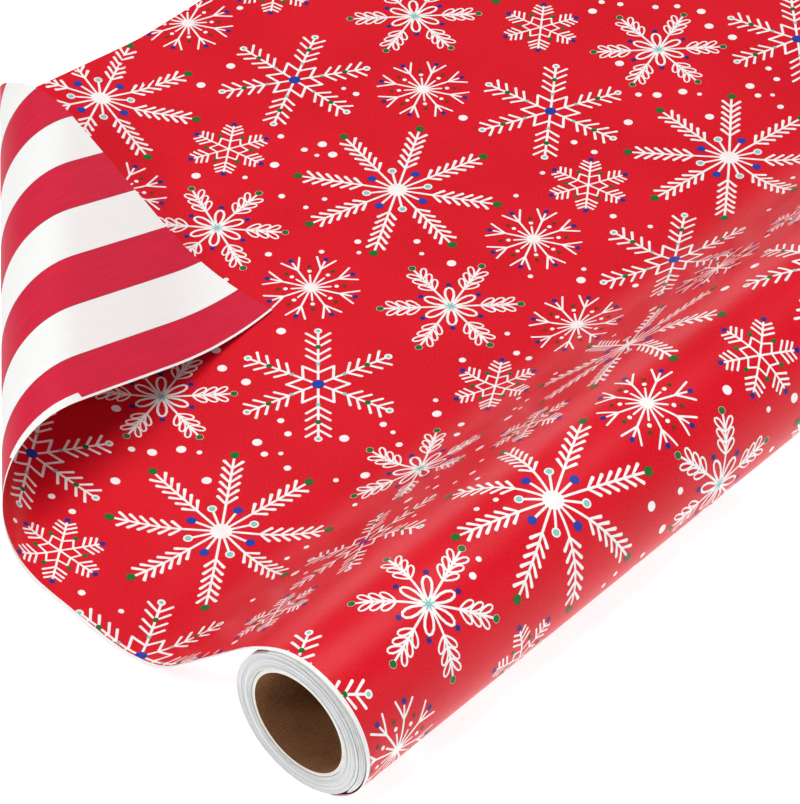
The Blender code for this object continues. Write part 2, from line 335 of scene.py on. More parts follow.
def front_paper():
    """The printed front: a full red with the fine grain of the stock showing through its satin coat."""
    paint = Paint("front_paper", 0.32, 0.18)
    place = paint.place("strip")
    grain = paint.noise(place, 1500, 3)
    cloud = paint.noise(place, 22, 3)
    tone = paint.shade(cloud, 0.35, 0.65, RED_DEEP, RED)
    paint.colour(paint.shade(grain, 0.30, 0.70, tone, scaled(RED, 1.22)))
    paint.roughness(grain, 0.30, 0.70, 0.27, 0.37)
    paint.bump(paint.noise(place, 900, 2), 0.00004)
    return paint.material


def reverse_paper(name, low, high):
    """The reverse: a matt colour laid down in fine streaks along the web."""
    paint = Paint(name, 0.58, 0.20)
    streaks = paint.noise(paint.place("strip", (1.0, 0.04, 1.0)), 900, 3)
    grain = paint.noise(paint.place("strip"), 1300, 2)
    tone = paint.shade(streaks, 0.35, 0.65, low, high)
    paint.colour(paint.shade(grain, 0.3, 0.7, tone, scaled(high, 1.1), 0.35))
    paint.roughness(grain, 0.3, 0.7, 0.52, 0.66)
    paint.bump(grain, 0.00004)
    return paint.material


def plain_paper(name, colour, roughness):
    """Unprinted stock: fibres and a little cloudiness."""
    paint = Paint(name, roughness, 0.35)
    cloud = paint.noise(paint.place("strip"), 45, 2)
    fibres = paint.noise(paint.place("strip", (1.0, 0.35, 1.0)), 1400, 4)
    tone = paint.shade(cloud, 0.35, 0.65, scaled(colour, 0.96), colour)
    paint.colour(paint.shade(fibres, 0.35, 0.65, tone, scaled(colour, 1.04), 0.4))
    paint.roughness(fibres, 0.3, 0.7, roughness - 0.06, roughness + 0.06)
    paint.bump(fibres, 0.00005)
    return paint.material


def ink(name, colour):
    """A printed colour: near solid, a shade uneven, under the same satin coat as the front."""
    paint = Paint("ink_" + name, 0.34, 0.22)
    place = paint.place("strip")
    grain = paint.noise(place, 1500, 2)
    uneven = paint.noise(place, 260, 2)
    warm = tuple(0.94 * part + 0.03 * red for part, red in zip(colour, RED))
    paint.colour(paint.shade(uneven, 0.38, 0.62, warm, colour))
    paint.roughness(grain, 0.3, 0.7, 0.29, 0.39)
    return paint.material


def roll_ends():
    """The wound layers' ends: pale stock, with fine dark rings of painted shade, as if between layers."""
    paint = Paint("roll_ends", 0.70, 0.25)
    place = paint.place("layers", (1.0, 0.03, 1.0))
    lines = paint.noise(place, 1500, 2)
    bands = paint.noise(place, 420, 2)
    tone = paint.shade(bands, 0.36, 0.64, (0.70, 0.70, 0.71), (0.80, 0.80, 0.80))
    # painted shade: these darker rings stand in for the shade in the steps between the wound layers
    paint.colour(paint.shade(lines, 0.58, 0.72, tone, (0.50, 0.51, 0.52), 0.40))
    paint.roughness(bands, 0.3, 0.7, 0.62, 0.78)
    paint.bump(lines, 0.0001)
    return paint.material


def kraft(name, colour):
    """Brown core board: fibres, flecks and the seam between one spiral turn of the ply and the next."""
    paint = Paint(name, 0.82, 0.25)
    fibres = paint.noise(paint.place("strip", (0.35, 1.0, 1.0)), 700, 4)
    flecks = paint.noise(paint.place("strip"), 1700, 2)
    cloud = paint.noise(paint.place("strip"), 90, 3)
    tone = paint.shade(cloud, 0.35, 0.65, scaled(colour, 0.80), scaled(colour, 1.15))
    tone = paint.shade(fibres, 0.35, 0.7, tone, scaled(colour, 1.45), 0.5)
    tone = paint.shade(flecks, 0.60, 0.68, tone, scaled(colour, 0.45), 0.6)
    tone = paint.shade(flecks, 0.40, 0.32, tone, scaled(colour, 2.2), 0.6)
    source = paint.node("ShaderNodeAttribute", {"attribute_name": "spiral"})
    seam_gap = paint.maths("ABSOLUTE", paint.maths("SUBTRACT", source.outputs["Fac"], 0.5))
    seam = paint.spread(seam_gap, 0.0, 0.012, 1.0, 0.0)
    paint.colour(paint.shade(seam, 0.0, 1.0, tone, scaled(colour, 0.30), 0.7))
    paint.roughness(fibres, 0.3, 0.7, 0.76, 0.90)
    paint.bump(paint.maths("SUBTRACT", paint.maths("ADD", fibres, flecks), seam), 0.0002)
    return paint.material


def cut_board():
    """The cut end of the core and the torn fibres on it."""
    paint = Paint("cut_board", 0.85, 0.2)
    fibres = paint.noise(paint.place("strip"), 1600, 3)
    paint.colour(paint.shade(fibres, 0.35, 0.65, (0.74, 0.69, 0.60), (0.90, 0.87, 0.81)))
    paint.bump(fibres, 0.0001)
    return paint.material


def clear_tape():
    """Double-sided tape: a slightly yellow film with small trapped bubbles."""
    paint = Paint("clear_tape_film", 0.3, 0.5)
    place = paint.node("ShaderNodeTexCoord").outputs["Object"]
    bubbles = paint.noise(place, 500, 3)
    paint.colour(paint.shade(bubbles, 0.55, 0.66, (0.80, 0.78, 0.68), (0.90, 0.89, 0.84)))
    paint.roughness(bubbles, 0.4, 0.7, 0.22, 0.5)
    paint.bump(bubbles, 0.00004)
    return paint.material


def floor_material():
    """A pale studio floor. Most of its light is its own, a little short of red to offset the paper's."""
    paint = Paint("pale_floor", 0.75, 0.12)
    paint.shader.inputs["Emission Color"].default_value = (0.96, 1.0, 1.0, 1.0)
    paint.shader.inputs["Emission Strength"].default_value = FLOOR_GLOW
    place = paint.node("ShaderNodeTexCoord").outputs["Object"]
    cloud = paint.noise(place, 3.0, 2)
    paint.colour(paint.shade(cloud, 0.3, 0.7, (0.60, 0.60, 0.60), (0.64, 0.64, 0.64)))
    return paint.material


# ======== meshes

def flat_patch(first, second, to_flat):
    """A flat grid in the strip's pattern, with its lines at first and second of some coordinates."""
    a, b = np.meshgrid(first, second, indexing="ij")
    s, t = to_flat(a.ravel(), b.ravel())
    count = len(second)
    corner = (np.arange(len(first) - 1)[:, None] * count + np.arange(count - 1)).ravel()
    quads = np.stack([corner, corner + count, corner + count + 1, corner + 1], -1)
    mesh = bpy.data.meshes.new("patch")
    mesh.from_pydata(np.stack([s, t, np.zeros_like(s)], -1).tolist(), [], quads.tolist())
    patch = bmesh.new()
    patch.from_mesh(mesh)
    bpy.data.meshes.remove(mesh)
    return patch


def cut(patch, point, normal, drop_outer=False):
    """Cuts the patch along a line through point; drop_outer removes what lies the normal's way."""
    geometry = patch.verts[:] + patch.edges[:] + patch.faces[:]
    bmesh.ops.bisect_plane(patch, geom=geometry, dist=1e-7, plane_co=(*point, 0.0),
                           plane_no=(*normal, 0.0), clear_outer=drop_outer)


def cut_printing_lines(patch):
    """Cuts along the margins, the reverse stripes and the label patch, so that each face has one colour."""
    for s in np.arange(STRIPE_FIRST, PAPER_WIDTH, STRIPE_WIDTH):
        cut(patch, (s, 0.0), (1.0, 0.0))
        cut(patch, (s + STRIPE_LINE, 0.0), (1.0, 0.0))
    for margin in (MARGIN, REVERSE_MARGIN, LABEL_WIDTH):
        cut(patch, (margin, 0.0), (1.0, 0.0))
        cut(patch, (PAPER_WIDTH - margin, 0.0), (1.0, 0.0))
    for t in (LABEL_FROM_T, LABEL_TO_T):
        cut(patch, (0.0, t), (0.0, 1.0))


def add_object(name, data):
    obj = bpy.data.objects.new(name, data)
    bpy.context.scene.collection.objects.link(obj)
    return obj


def add_piece(name, points, faces, materials, face_slots, attributes):
    """A mesh object with a material for each face and named vectors at its points."""
    mesh = bpy.data.meshes.new(name)
    mesh.from_pydata(np.asarray(points).tolist(), [], faces)
    for material in materials:
        mesh.materials.append(material)
    mesh.polygons.foreach_set("material_index", np.asarray(face_slots, np.int32))
    for key, values in attributes.items():
        values = np.asarray(values, np.float32)
        kind = "FLOAT" if values.ndim == 1 else "FLOAT_VECTOR"
        made = mesh.attributes.new(key, kind, "POINT")
        made.data.foreach_set("value" if kind == "FLOAT" else "vector", values.ravel())
    mesh.shade_smooth()
    mesh.validate()
    return add_object(name, mesh)


def centres(flat, faces):
    return np.array([flat[list(face)].mean(0) for face in faces])


def front_slots(middle):
    margin = (middle[:, 0] < MARGIN) | (middle[:, 0] > PAPER_WIDTH - MARGIN)
    return np.where(margin, PLAIN, FRONT)


def reverse_slots(middle):
    s, t = middle[:, 0], middle[:, 1]
    stripe = (s - STRIPE_FIRST) / STRIPE_WIDTH
    slots = np.where(np.floor(stripe) % 2 == 1, CRIMSON_STRIPE, WHITE_STRIPE)
    slots = np.where((stripe % 1.0) * STRIPE_WIDTH < STRIPE_LINE, STRIPE_OVERLAP, slots)
    margin = (s < REVERSE_MARGIN) | (s > PAPER_WIDTH - REVERSE_MARGIN)
    label = (s < LABEL_WIDTH) & (t > LABEL_FROM_T) & (t < LABEL_TO_T)
    return np.where(margin | label, PLAIN, slots)


def bent_paper(name, patch, surface, materials):
    """Thin paper from a flat patch: its front, its reverse and the cut edge between them."""
    flat = np.array([vert.co[:2] for vert in patch.verts])
    patch.verts.index_update()
    front = [[vert.index for vert in face.verts] for face in patch.faces]
    area = sum(face.calc_area() for face in patch.faces)
    count = len(flat)
    rim = []
    for edge in patch.edges:
        if len(edge.link_loops) == 1:
            loop = edge.link_loops[0]
            low, high = loop.vert.index, loop.link_loop_next.vert.index
            rim.append([high, low, low + count, high + count])
    patch.free()
    reverse = [[index + count for index in reversed(face)] for face in front]
    middle = centres(flat, front)
    slots = np.concatenate([front_slots(middle), reverse_slots(middle), np.full(len(rim), CUT_EDGE)])
    half = PAPER_THICKNESS / 2
    points = np.concatenate([surface(*flat.T, half), surface(*flat.T, -half)])
    strip = np.tile(np.column_stack([flat, np.zeros(count)]), (2, 1))
    obj = add_piece(name, points, front + reverse + rim, materials, slots, {"strip": strip})
    obj.data.set_sharp_from_angle(angle=math.radians(50))
    return obj, area


def lines(*stops):
    """Values from stop to stop: (start, step), (start, step), ..., (end,)."""
    values = []
    for (start, step), following in zip(stops[:-1], stops[1:]):
        count = max(1, round((following[0] - start) / step))
        values.extend(np.linspace(start, following[0], count, endpoint=False))
    return np.array(values + [stops[-1][0]])


def main_patch():
    across = lines((0.0, 3 * MM), (FINE_TO_S, 12 * MM), (PAPER_WIDTH,))
    along = lines((LOOSE_FROM_T, 1.2 * MM), (LAND_T, 3 * MM), (REACH,))
    patch = flat_patch(across, along, lambda s, t: (s, t))
    fold = (0.0, CURL_START_T + BEND_FROM_Q / COS_RULING)
    cut(patch, fold, (-SIN_RULING, COS_RULING), drop_outer=True)
    cut_printing_lines(patch)
    return patch


def corner_patch(from_q, to_q, step):
    """The part of the corner between two of the curl's straight lines, gridded along them, and its size."""
    low = from_q * math.tan(RULING_ANGLE)
    high = (REACH - CURL_START_T - from_q * COS_RULING) / SIN_RULING
    rulings = lines((low, 4 * MM), (high,))
    rows = lines((from_q, step), (to_q,))

    def to_flat(along, q):
        return along * COS_RULING - q * SIN_RULING, CURL_START_T + along * SIN_RULING + q * COS_RULING
    patch = flat_patch(rulings, rows, to_flat)
    cut(patch, (0.0, 0.0), (-1.0, 0.0), drop_outer=True)
    cut(patch, (0.0, REACH), (0.0, 1.0), drop_outer=True)
    cut_printing_lines(patch)
    return patch, (high - low, to_q - from_q)


def blend_corner(obj):
    """Bakes the piece's placing into its mesh. It is put on no body, so it stays where it is when the corner
    turns.
    """
    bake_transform(obj)


# ======== the roll

def around_axis(x, radius, angle, y=AXIS_Y, z=AXIS_Z):
    """Points round the roll's axis, or round one beside it."""
    return np.stack([x, y + radius * np.cos(angle), z + radius * np.sin(angle)], -1)


def lathe(name, profile, slots, materials, attribute, wobble=None):
    """A closed turned piece about the roll's axis, from a closed profile of (x, radius) points.

    slots holds the material of each profile edge, wobble(index, angle) an axial shift of each point."""
    count = len(profile)
    angles = np.arange(ROUND_STEPS) * 2 * math.pi / ROUND_STEPS
    angle, index = np.meshgrid(angles, np.arange(count), indexing="ij")
    angle, index = angle.ravel(), index.ravel()
    x, radius = np.array(profile)[index].T
    if wobble is not None:
        x = x + wobble(index, angle)
    points = around_axis(x, radius, angle)
    faces = []
    face_slots = []
    for step in range(ROUND_STEPS):
        here = step * count
        there = (step + 1) % ROUND_STEPS * count
        for low in range(count):
            high = (low + 1) % count
            faces.append([here + low, here + high, there + high, there + low])
            face_slots.append(slots[low])
    obj = add_piece(name, points, faces, materials, face_slots, attribute(x, radius, angle))
    obj.data.set_sharp_from_angle(angle=math.radians(40))
    return obj


def core_ply(name, index, wall, cut_end):
    inner = CORE_BORE_RADIUS + index * (CORE_PLY + PLY_GAP)
    outer = inner + CORE_PLY
    half = PAPER_WIDTH / 2 - CORE_INSET
    stations = lines((-half, 20 * MM), (half,))
    profile = [(x, inner) for x in stations] + [(x, outer) for x in reversed(stations)]
    wall_slot, end_slot = 0, 1
    ends = (len(stations) - 1, 2 * len(stations) - 1)
    slots = [end_slot if edge in ends else wall_slot for edge in range(len(profile))]

    def attributes(x, radius, angle):
        around = angle * radius
        return {"strip": np.stack([x, around, np.zeros_like(x)], -1), "spiral": spiral_share(x, angle, index)}
    obj = lathe(name, profile, slots, [wall, cut_end], attributes)
    return obj


def spiral_share(x, angle, index):
    """Turns of the ply's spiral up to each point: its seam is where the share is 0.5."""
    return x / SPIRAL_PITCH + angle / (2 * math.pi) + index / 3


def wound_paper(printed, ends, plain):
    """The wound layers: printed outside, and ends where no two layers lie quite level."""
    random = np.random.default_rng(SEED)
    radii = np.linspace(WOUND_BORE_RADIUS, AXIS_Z, LAYER_COUNT + 1)
    half = PAPER_WIDTH / 2
    shift = random.uniform(-LAYER_SHIFT, LAYER_SHIFT, LAYER_COUNT)
    lean = random.uniform(0.0, LAYER_LEAN, LAYER_COUNT)
    phase = random.uniform(0.0, 2 * math.pi, LAYER_COUNT)
    far = [(half, radius) for layer in range(LAYER_COUNT) for radius in radii[layer:layer + 2]]
    body = [(x, AXIS_Z) for x in np.linspace(half - MARGIN, MARGIN - half, 40)]
    near = [(-x, radius) for x, radius in reversed(far)]
    profile = far + body + near
    twice = np.repeat(np.arange(LAYER_COUNT), 2)
    layer_of = np.concatenate([twice, np.full(len(body), -1), twice[::-1]])

    def wobble(index, angle):
        layer = layer_of[index]
        moved = shift[layer] + lean[layer] * np.sin(angle + phase[layer])
        return np.where(layer < 0, 0.0, moved)

    def attributes(x, radius, angle):
        return {"strip": np.stack([x - NEAR_X, angle * radius, np.zeros_like(x)], -1),
                "layers": np.stack([radius, angle * AXIS_Z, x], -1)}
    outside, layer_ends, margin = 0, 1, 2
    end = [layer_ends] * (len(far) - 1) + [margin]
    slots = end + [outside] * (len(body) - 1) + [margin] + end
    return lathe("wound_paper_layers", profile, slots, [printed, ends, plain], attributes, wobble)


# ======== the print

# Levels of the marks, from the paper up. Marks that would meet on one level add a number of their own.
ARM = 0
BARB = 8
OUTLINE = 12
PETAL = 14
DISC = 20
HALO = 21
BEAD = 30
STROKE_STEP = 1.6  # the longest straight piece of a stroke, in millimetres
RING_STEP = 1.1  # between the rings of a dot


def polar(radius, degrees):
    return radius * np.exp(1j * np.radians(degrees))


class Artwork:
    """Flat printed marks in millimetres, by ink: points as complex numbers s + it, faces and levels.

    Marks that cross have different levels, because they are laid over each other like real ink."""

    def __init__(self):
        self.points = {}
        self.faces = {}
        self.levels = {}

    def add(self, colour, points, faces, level):
        start = sum(len(part) for part in self.points.setdefault(colour, []))
        self.points[colour].append(np.asarray(points, complex))
        self.levels.setdefault(colour, []).append(np.full(len(points), level))
        self.faces.setdefault(colour, []).extend([index + start for index in face] for face in faces)

    def joined(self, colour):
        """All the marks of one ink: their points, faces and levels."""
        return np.concatenate(self.points[colour]), self.faces[colour], np.concatenate(self.levels[colour])

    def stroke(self, points, width, level, end_width=None, closed=False, colour="white"):
        """A pen stroke through the points, with round ends unless it closes on itself."""
        points = resampled(np.asarray(points, complex), closed)
        count = len(points)
        ahead = np.roll(points, -1) - np.roll(points, 1) if closed else np.gradient(points)
        ahead = ahead / np.abs(ahead)
        half = np.linspace(width, width if end_width is None else end_width, count) / 2
        if not closed:
            points, ahead, half = round_ends(points, ahead, half)
        left = points + 1j * ahead * half
        right = points - 1j * ahead * half
        rows = len(points)
        faces = []
        for row in range(rows if closed else rows - 1):
            following = (row + 1) % rows
            faces.append([rows + row, rows + following, following, row])
        self.add(colour, np.concatenate([left, right]), faces, level)

    def dot(self, centre, radius, level, colour="white", sides=14):
        """A disc as a centre and rings about 1 mm apart, so that it bends with the paper."""
        rim = polar(1.0, np.arange(sides) * 360 / sides)
        rings = max(1, math.ceil(radius / RING_STEP))
        points = [np.array([centre])] + [centre + rim * radius * (ring + 1) / rings for ring in range(rings)]
        faces = [[0, 1 + side, 1 + (side + 1) % sides] for side in range(sides)]
        for ring in range(rings - 1):
            low = 1 + ring * sides
            high = low + sides
            faces.extend([low + side, high + side, high + (side + 1) % sides, low + (side + 1) % sides]
                         for side in range(sides))
        self.add(colour, np.concatenate(points), faces, level)

    def bead(self, centre, radius, colour, halo, halo_width):
        """A coloured dot on a slightly larger one."""
        self.dot(centre, radius + halo_width, HALO, halo)
        self.dot(centre, radius, BEAD, colour)


def resampled(points, closed):
    """The points with more between them, so that no piece of a stroke is longer than STROKE_STEP."""
    ends = np.append(points, points[0]) if closed else points
    made = []
    for low, high in zip(ends[:-1], ends[1:]):
        count = max(1, math.ceil(abs(high - low) / STROKE_STEP))
        made.extend(low + (high - low) * np.arange(count) / count)
    if not closed:
        made.append(ends[-1])
    return np.array(made)


def round_ends(points, ahead, half):
    """Adds the narrowing rows that round off a stroke's two ends."""
    turns = np.radians([20.0, 55.0])
    back, narrow = np.cos(turns), np.sin(turns)
    first = points[0] - ahead[0] * half[0] * back
    last = points[-1] + ahead[-1] * half[-1] * back[::-1]
    points = np.concatenate([first, points, last])
    ahead = np.concatenate([[ahead[0]] * 2, ahead, [ahead[-1]] * 2])
    half = np.concatenate([half[0] * narrow, half, half[-1] * narrow[::-1]])
    return points, ahead, half


def barbs(art, angle, radii, lengths, spread, width, end_width):
    """Pairs of short strokes that leave an arm at the given radii."""
    for radius, length in zip(radii, lengths):
        for level, side in enumerate((-1, 1), BARB):
            root = polar(radius, angle)
            art.stroke([root, root + polar(length, angle + side * spread)], width, level, end_width)


def star(art, points, inner, outer, width):
    """A star's outline of strokes, whose inner corners lie on the arms."""
    step = 360 / points
    corners = []
    for point in range(points):
        corners.append(polar(inner, point * step))
        corners.append(polar(outer, (point + 0.5) * step))
    for index, (low, high) in enumerate(zip(corners, corners[1:] + corners[:1])):
        art.stroke([low, high], width, OUTLINE + index % 2)


def loop(art, root, length, breadth, angle, width, level):
    """A leaf-shaped loop that starts and ends at its root."""
    turn = np.radians(np.arange(0, 360, 30))
    shape = length * (1 - np.cos(turn)) / 2 + 0.5j * breadth * np.sin(turn) * np.sin(turn / 2)
    art.stroke(root + shape * polar(1.0, angle), width, level, closed=True)


def fern_flake(art):
    """Eight feathered arms round a solid centre, with eight bead-tipped spokes between them."""
    for arm in range(8):
        angle = arm * 45
        art.stroke([polar(3.0, angle), polar(40.0, angle)], 1.0, ARM)
        barbs(art, angle, np.linspace(14.4, 33.8, 6), [5.3] * 6, 41, 0.80, 1.40)
        art.dot(polar(41.2, angle), 1.85, BEAD, "green")
        between = angle + 22.5
        art.stroke([polar(3.0, between), polar(11.5, between)], 1.0, ARM)
        if arm % 2:
            art.bead(polar(12.5, between), 1.80, "blue", "purple", 0.12)
        else:
            art.bead(polar(12.5, between), 1.25, "aqua", "white", 0.60)
    art.dot(0, 4.0, DISC)


def star_flake(art):
    """Six arms with four pairs of barbs, a rhombus star round a blue centre."""
    for arm in range(6):
        angle = arm * 60
        art.stroke([polar(2.0, angle), polar(30.0, angle)], 1.0, ARM + arm)
        barbs(art, angle, (12.8, 16.8, 21.6, 25.8), (5.9, 5.9, 6.0, 6.0), 50, 0.95, 1.15)
        art.bead(polar(31.0, angle), 0.85, "aqua", "white", 0.75)
        art.dot(polar(21.6, angle), 1.2, BEAD, "green")
        art.dot(polar(11.6, angle), 0.85, BEAD, "aqua")
    star(art, 6, 6.6, 12.0, 1.1)
    art.dot(0, 2.5, BEAD, "blue")


def leaf_flake(art):
    """Six arms of leaf-shaped loops, six petals between them, a small aqua star at the centre."""
    for arm in range(6):
        angle = arm * 60
        art.stroke([polar(1.5, angle), polar(26.0, angle)], 0.9, ARM + arm)
        for row, radius in enumerate((11.6, 15.6, 19.6)):
            for side in (-1, 1):
                level = BARB + 2 * (row % 2) + (side + 1) // 2
                loop(art, polar(radius, angle), 6.6, 3.0, angle + side * 36, 0.75, level)
        art.bead(polar(27.4, angle), 1.40, "green", "white", 0.12)
        petal = angle + 30
        loop(art, polar(1.0, petal), 10.2, 4.6, petal, 1.0, PETAL + arm)
        art.bead(polar(13.0, petal), 1.05, "navy", "purple", 0.25)
    for ray in range(8):
        art.stroke([0, polar(2.3, ray * 45 + 10)], 0.9, BEAD + ray, 0.4, colour="aqua")


def small_flake(art):
    """Six short arms, three pairs of barbs on each, and a little rhombus star."""
    for arm in range(6):
        angle = arm * 60
        art.stroke([0, polar(15.2, angle)], 0.8, ARM + arm)
        barbs(art, angle, (8.8, 11.3, 13.6), (5.0, 4.4, 3.5), 58, 0.75, 0.95)
        art.bead(polar(16.6, angle), 1.05, "navy", "purple", 0.3)
        art.dot(polar(9.2, angle + 30), 1.0, BEAD, "green")
    star(art, 6, 5.1, 7.8, 0.75)


def forked_flake(art):
    """Eight forked arms round a small solid centre, with short spokes and two rings of dots."""
    for angle in range(0, 360, 45):
        node = polar(11.8, angle)
        art.stroke([polar(2.0, angle), node], 0.85, ARM)
        for level, side in enumerate((-1, 1), BARB):
            art.stroke([node, polar(19.0, angle + side * 12)], 0.85, level)
        art.stroke([node, polar(16.6, angle)], 0.8, OUTLINE)
        art.bead(polar(18.2, angle), 1.0, "navy", "purple", 0.3)
        between = angle + 22.5
        art.stroke([polar(2.0, between), polar(7.7, between)], 0.8, ARM)
        art.dot(polar(10.0, between), 0.9, DISC)
        art.dot(polar(13.0, between), 0.95, BEAD, "olive")
    art.dot(0, 2.6, DISC)


# The repeat of the print, in millimetres: where each snowflake is and how far it is turned, in degrees.
REPEAT = 297.0
LAYOUT = (
    (fern_flake, ((71, 105, 37), (222, 23, 28), (262, 191, 29), (126, 265, 27))),
    (star_flake, ((288, 272, 27), (46, 179, 36), (154, 134, 43), (4, 78, 33), (81, 29, 40))),
    (leaf_flake, ((58, 265, 16), (196, 228, 6), (109, 173, 16), (222, 127, 15), (141, 67, 32))),
    (small_flake, ((236, 260, 36), (88, 220, 36), (19, 136, 36), (198, 82, 34), (32, 25, 37),
                   (161, 16, 35))),
    (forked_flake, ((287, 36, 24), (22, 228, 24), (194, 175, 24), (275, 130, 24), (246, 82, 27),
                    (185, 272, 24))),
)
FLAKE_REACH = 45.0  # no mark lies further than this from its snowflake's centre
DRIFT = 9.0  # fitted sideways shift of the print between the floor and the roll
DRIFT_FROM = 100.0  # it starts at this t, and is whole at DRIFT_OVER less
DRIFT_OVER = 130.0
SLEW = complex(-2.6, 3.6)  # and a further fitted shift, s and t, towards the roll's near end
SLEW_FROM = 117.0  # it grows from this s to the near side edge
SNOW_GROUPS = 92
SNOW_TRIES = 20000
SNOW_BORDER = 30.0  # how far round the repeat its neighbours' marks are counted
SNOW_CLEARANCE = 1.9  # round a dot, to any snowflake
SNOW_GAP = 3.2  # between two dots
SNOW_STEP = (6.0, 8.5)  # from one dot of a group to the next
SNOW_SIZES = ((1.9, 1.05), (1.4, 1.0), (1.9,), (1.4, 1.35), (1.1,))


def repeat_distance(first, second):
    """At most the distance between two dots, within the repeat or across one of its edges.

    Across a corner of the repeat it is too long; no two dots of this layout are near each other there."""
    gap = abs(first - second) % REPEAT
    return min(gap, REPEAT - gap)


def repeat_artwork():
    """All the marks of one repeat, as (ink, points, faces, levels)."""
    marks = []
    for flake, places in LAYOUT:
        art = Artwork()
        flake(art)
        for s, t, turn in places:
            for colour in art.points:
                points, faces, levels = art.joined(colour)
                marks.append((colour, points * polar(1.0, turn) + complex(s, t), faces, levels))
    marks.append(("white", *snow_dots(marks).joined("white")))
    return marks


def snow_dots(marks):
    """White dots scattered in ones, twos and threes wherever the snowflakes leave room."""
    random = np.random.default_rng(SEED)
    taken = np.concatenate([points for _, points, _, _ in marks])
    shifts = [complex(i, j) * REPEAT for i in (-1, 0, 1) for j in (-1, 0, 1)]
    around = np.concatenate([taken + shift for shift in shifts])
    low, high = -SNOW_BORDER, REPEAT + SNOW_BORDER
    around = around[within(around, (low, high, low, high))]
    tree = KDTree(len(around))
    for index, point in enumerate(around):
        tree.insert((point.real, point.imag, 0.0), index)
    tree.balance()
    made = Artwork()
    kept = []

    def fits(place, radius):
        if tree.find((place.real, place.imag, 0.0))[2] < radius + SNOW_CLEARANCE:
            return False
        return all(repeat_distance(place, other) > radius + size + SNOW_GAP for other, size in kept)

    groups = 0
    for _ in range(SNOW_TRIES):
        if groups == SNOW_GROUPS:
            break
        place = complex(*random.uniform(0.0, REPEAT, 2))
        sizes = SNOW_SIZES[random.integers(len(SNOW_SIZES))]
        if not fits(place, sizes[0]):
            continue
        groups += 1
        for size in sizes:
            if fits(place, size):
                kept.append((place, size))
                made.dot(place, size, ARM, sides=16)
            place += polar(random.uniform(*SNOW_STEP), random.uniform(0, 360))
    return made


def repeats_over(low, high):
    """The whole repeats that may put a mark between low and high."""
    return range(math.floor((low - FLAKE_REACH) / REPEAT), math.ceil((high + FLAKE_REACH) / REPEAT) + 1)


def shifted(points):
    """The print's points, moved by the fitted shifts of the paper on the roll."""
    wound = np.clip((DRIFT_FROM - points.imag) / DRIFT_OVER, 0.0, 1.0)
    slew = SLEW * np.clip((SLEW_FROM - points.real) / SLEW_FROM, 0.0, 1.0)
    return points - wound * (DRIFT + slew)


def tiled(marks, low_s, high_s, low_t, high_t):
    """The repeat's marks laid over a stretch of the strip."""
    laid = Artwork()
    tiles = [complex(i, j) for i in repeats_over(low_s, high_s) for j in repeats_over(low_t, high_t)]
    for colour, points, faces, levels in marks:
        for tile in tiles:
            moved = shifted(points + tile * REPEAT)
            if moved.real.max() < low_s or moved.real.min() > high_s:
                continue
            if moved.imag.max() < low_t or moved.imag.min() > high_t:
                continue
            laid.add(colour, moved, faces, levels)
    return laid


def within(points, limits):
    """Which points lie inside the limits: low s, high s, low t, high t."""
    low_s, high_s, low_t, high_t = limits
    return (points.real > low_s) & (points.real < high_s) & (points.imag > low_t) & (points.imag < high_t)


def kept_faces(points, faces, limits, low_q, high_q):
    """The faces centred within the limits and from low_q to high_q, renumbered, and the points they use."""
    middle = centres(points, faces)
    q = fold_distance(middle.real * MM, middle.imag * MM)
    wanted = within(middle, limits) & (q >= low_q) & (q < high_q)
    chosen = [face for face, keep in zip(faces, wanted) if keep]
    if not chosen:
        return [], np.array([], int)
    used = np.unique(np.concatenate(chosen))
    order = np.full(len(points), -1)
    order[used] = np.arange(len(used))
    return [[int(order[index]) for index in face] for face in chosen], used


def ink_pieces(name, artwork, ink_materials, surface, limits, low_q=-math.inf, high_q=math.inf):
    """The print on one piece of paper, which has each ink as a film just over it."""
    low_s, high_s, low_t, high_t = limits
    made = []
    for colour in sorted(artwork.points):
        points, faces, levels = artwork.joined(colour)
        faces, used = kept_faces(points, faces, limits, low_q, high_q)
        if not faces:
            continue
        s = np.clip(points[used].real, low_s, high_s) * MM
        t = np.clip(points[used].imag, low_t, high_t) * MM
        lift = PAPER_THICKNESS / 2 + INK_LIFT + levels[used] * INK_STEP
        strip = np.column_stack([s, t, np.zeros(len(s))])
        obj = add_piece(f"{name}_{colour}", surface(s, t, lift), faces, [ink_materials[colour]],
                        [0] * len(faces), {"strip": strip})
        made.append(obj)
    return made


# ======== the scene

def print_limits(low_t, high_t):
    """The print's low s, high s, low t and high t, in millimetres, between the side margins."""
    return MARGIN / MM, (PAPER_WIDTH - MARGIN) / MM, low_t / MM, high_t / MM


def print_strip(marks, ink_materials):
    """The print on the three pieces of the strip. Returns the ink objects of each piece."""
    limits = print_limits(LOOSE_FROM_T + PRINT_INSET, REACH - PRINT_INSET)
    artwork = tiled(marks, *limits)
    parts = {"drawn_sheet_print": (-math.inf, BEND_FROM_Q), "corner_bend_print": (BEND_FROM_Q, BEND_TO_Q),
             "turned_corner_print": (BEND_TO_Q, math.inf)}
    return {name: ink_pieces(name, artwork, ink_materials, strip_surface, limits, *part)
            for name, part in parts.items()}


def print_roll(marks, ink_materials):
    """The print on the outside of the wound paper, which goes on where the loose turn ends."""
    limits = print_limits(LOOSE_FROM_T - 2 * math.pi * AXIS_Z, LOOSE_FROM_T)
    artwork = tiled(marks, *limits)

    def surface(s, t, lift):
        angle = LOOSE_END_ANGLE + (LOOSE_FROM_T - t) / AXIS_Z
        return around_axis(NEAR_X + s, AXIS_Z + lift - PAPER_THICKNESS / 2, angle)
    return ink_pieces("wound_paper_print", artwork, ink_materials, surface, limits)


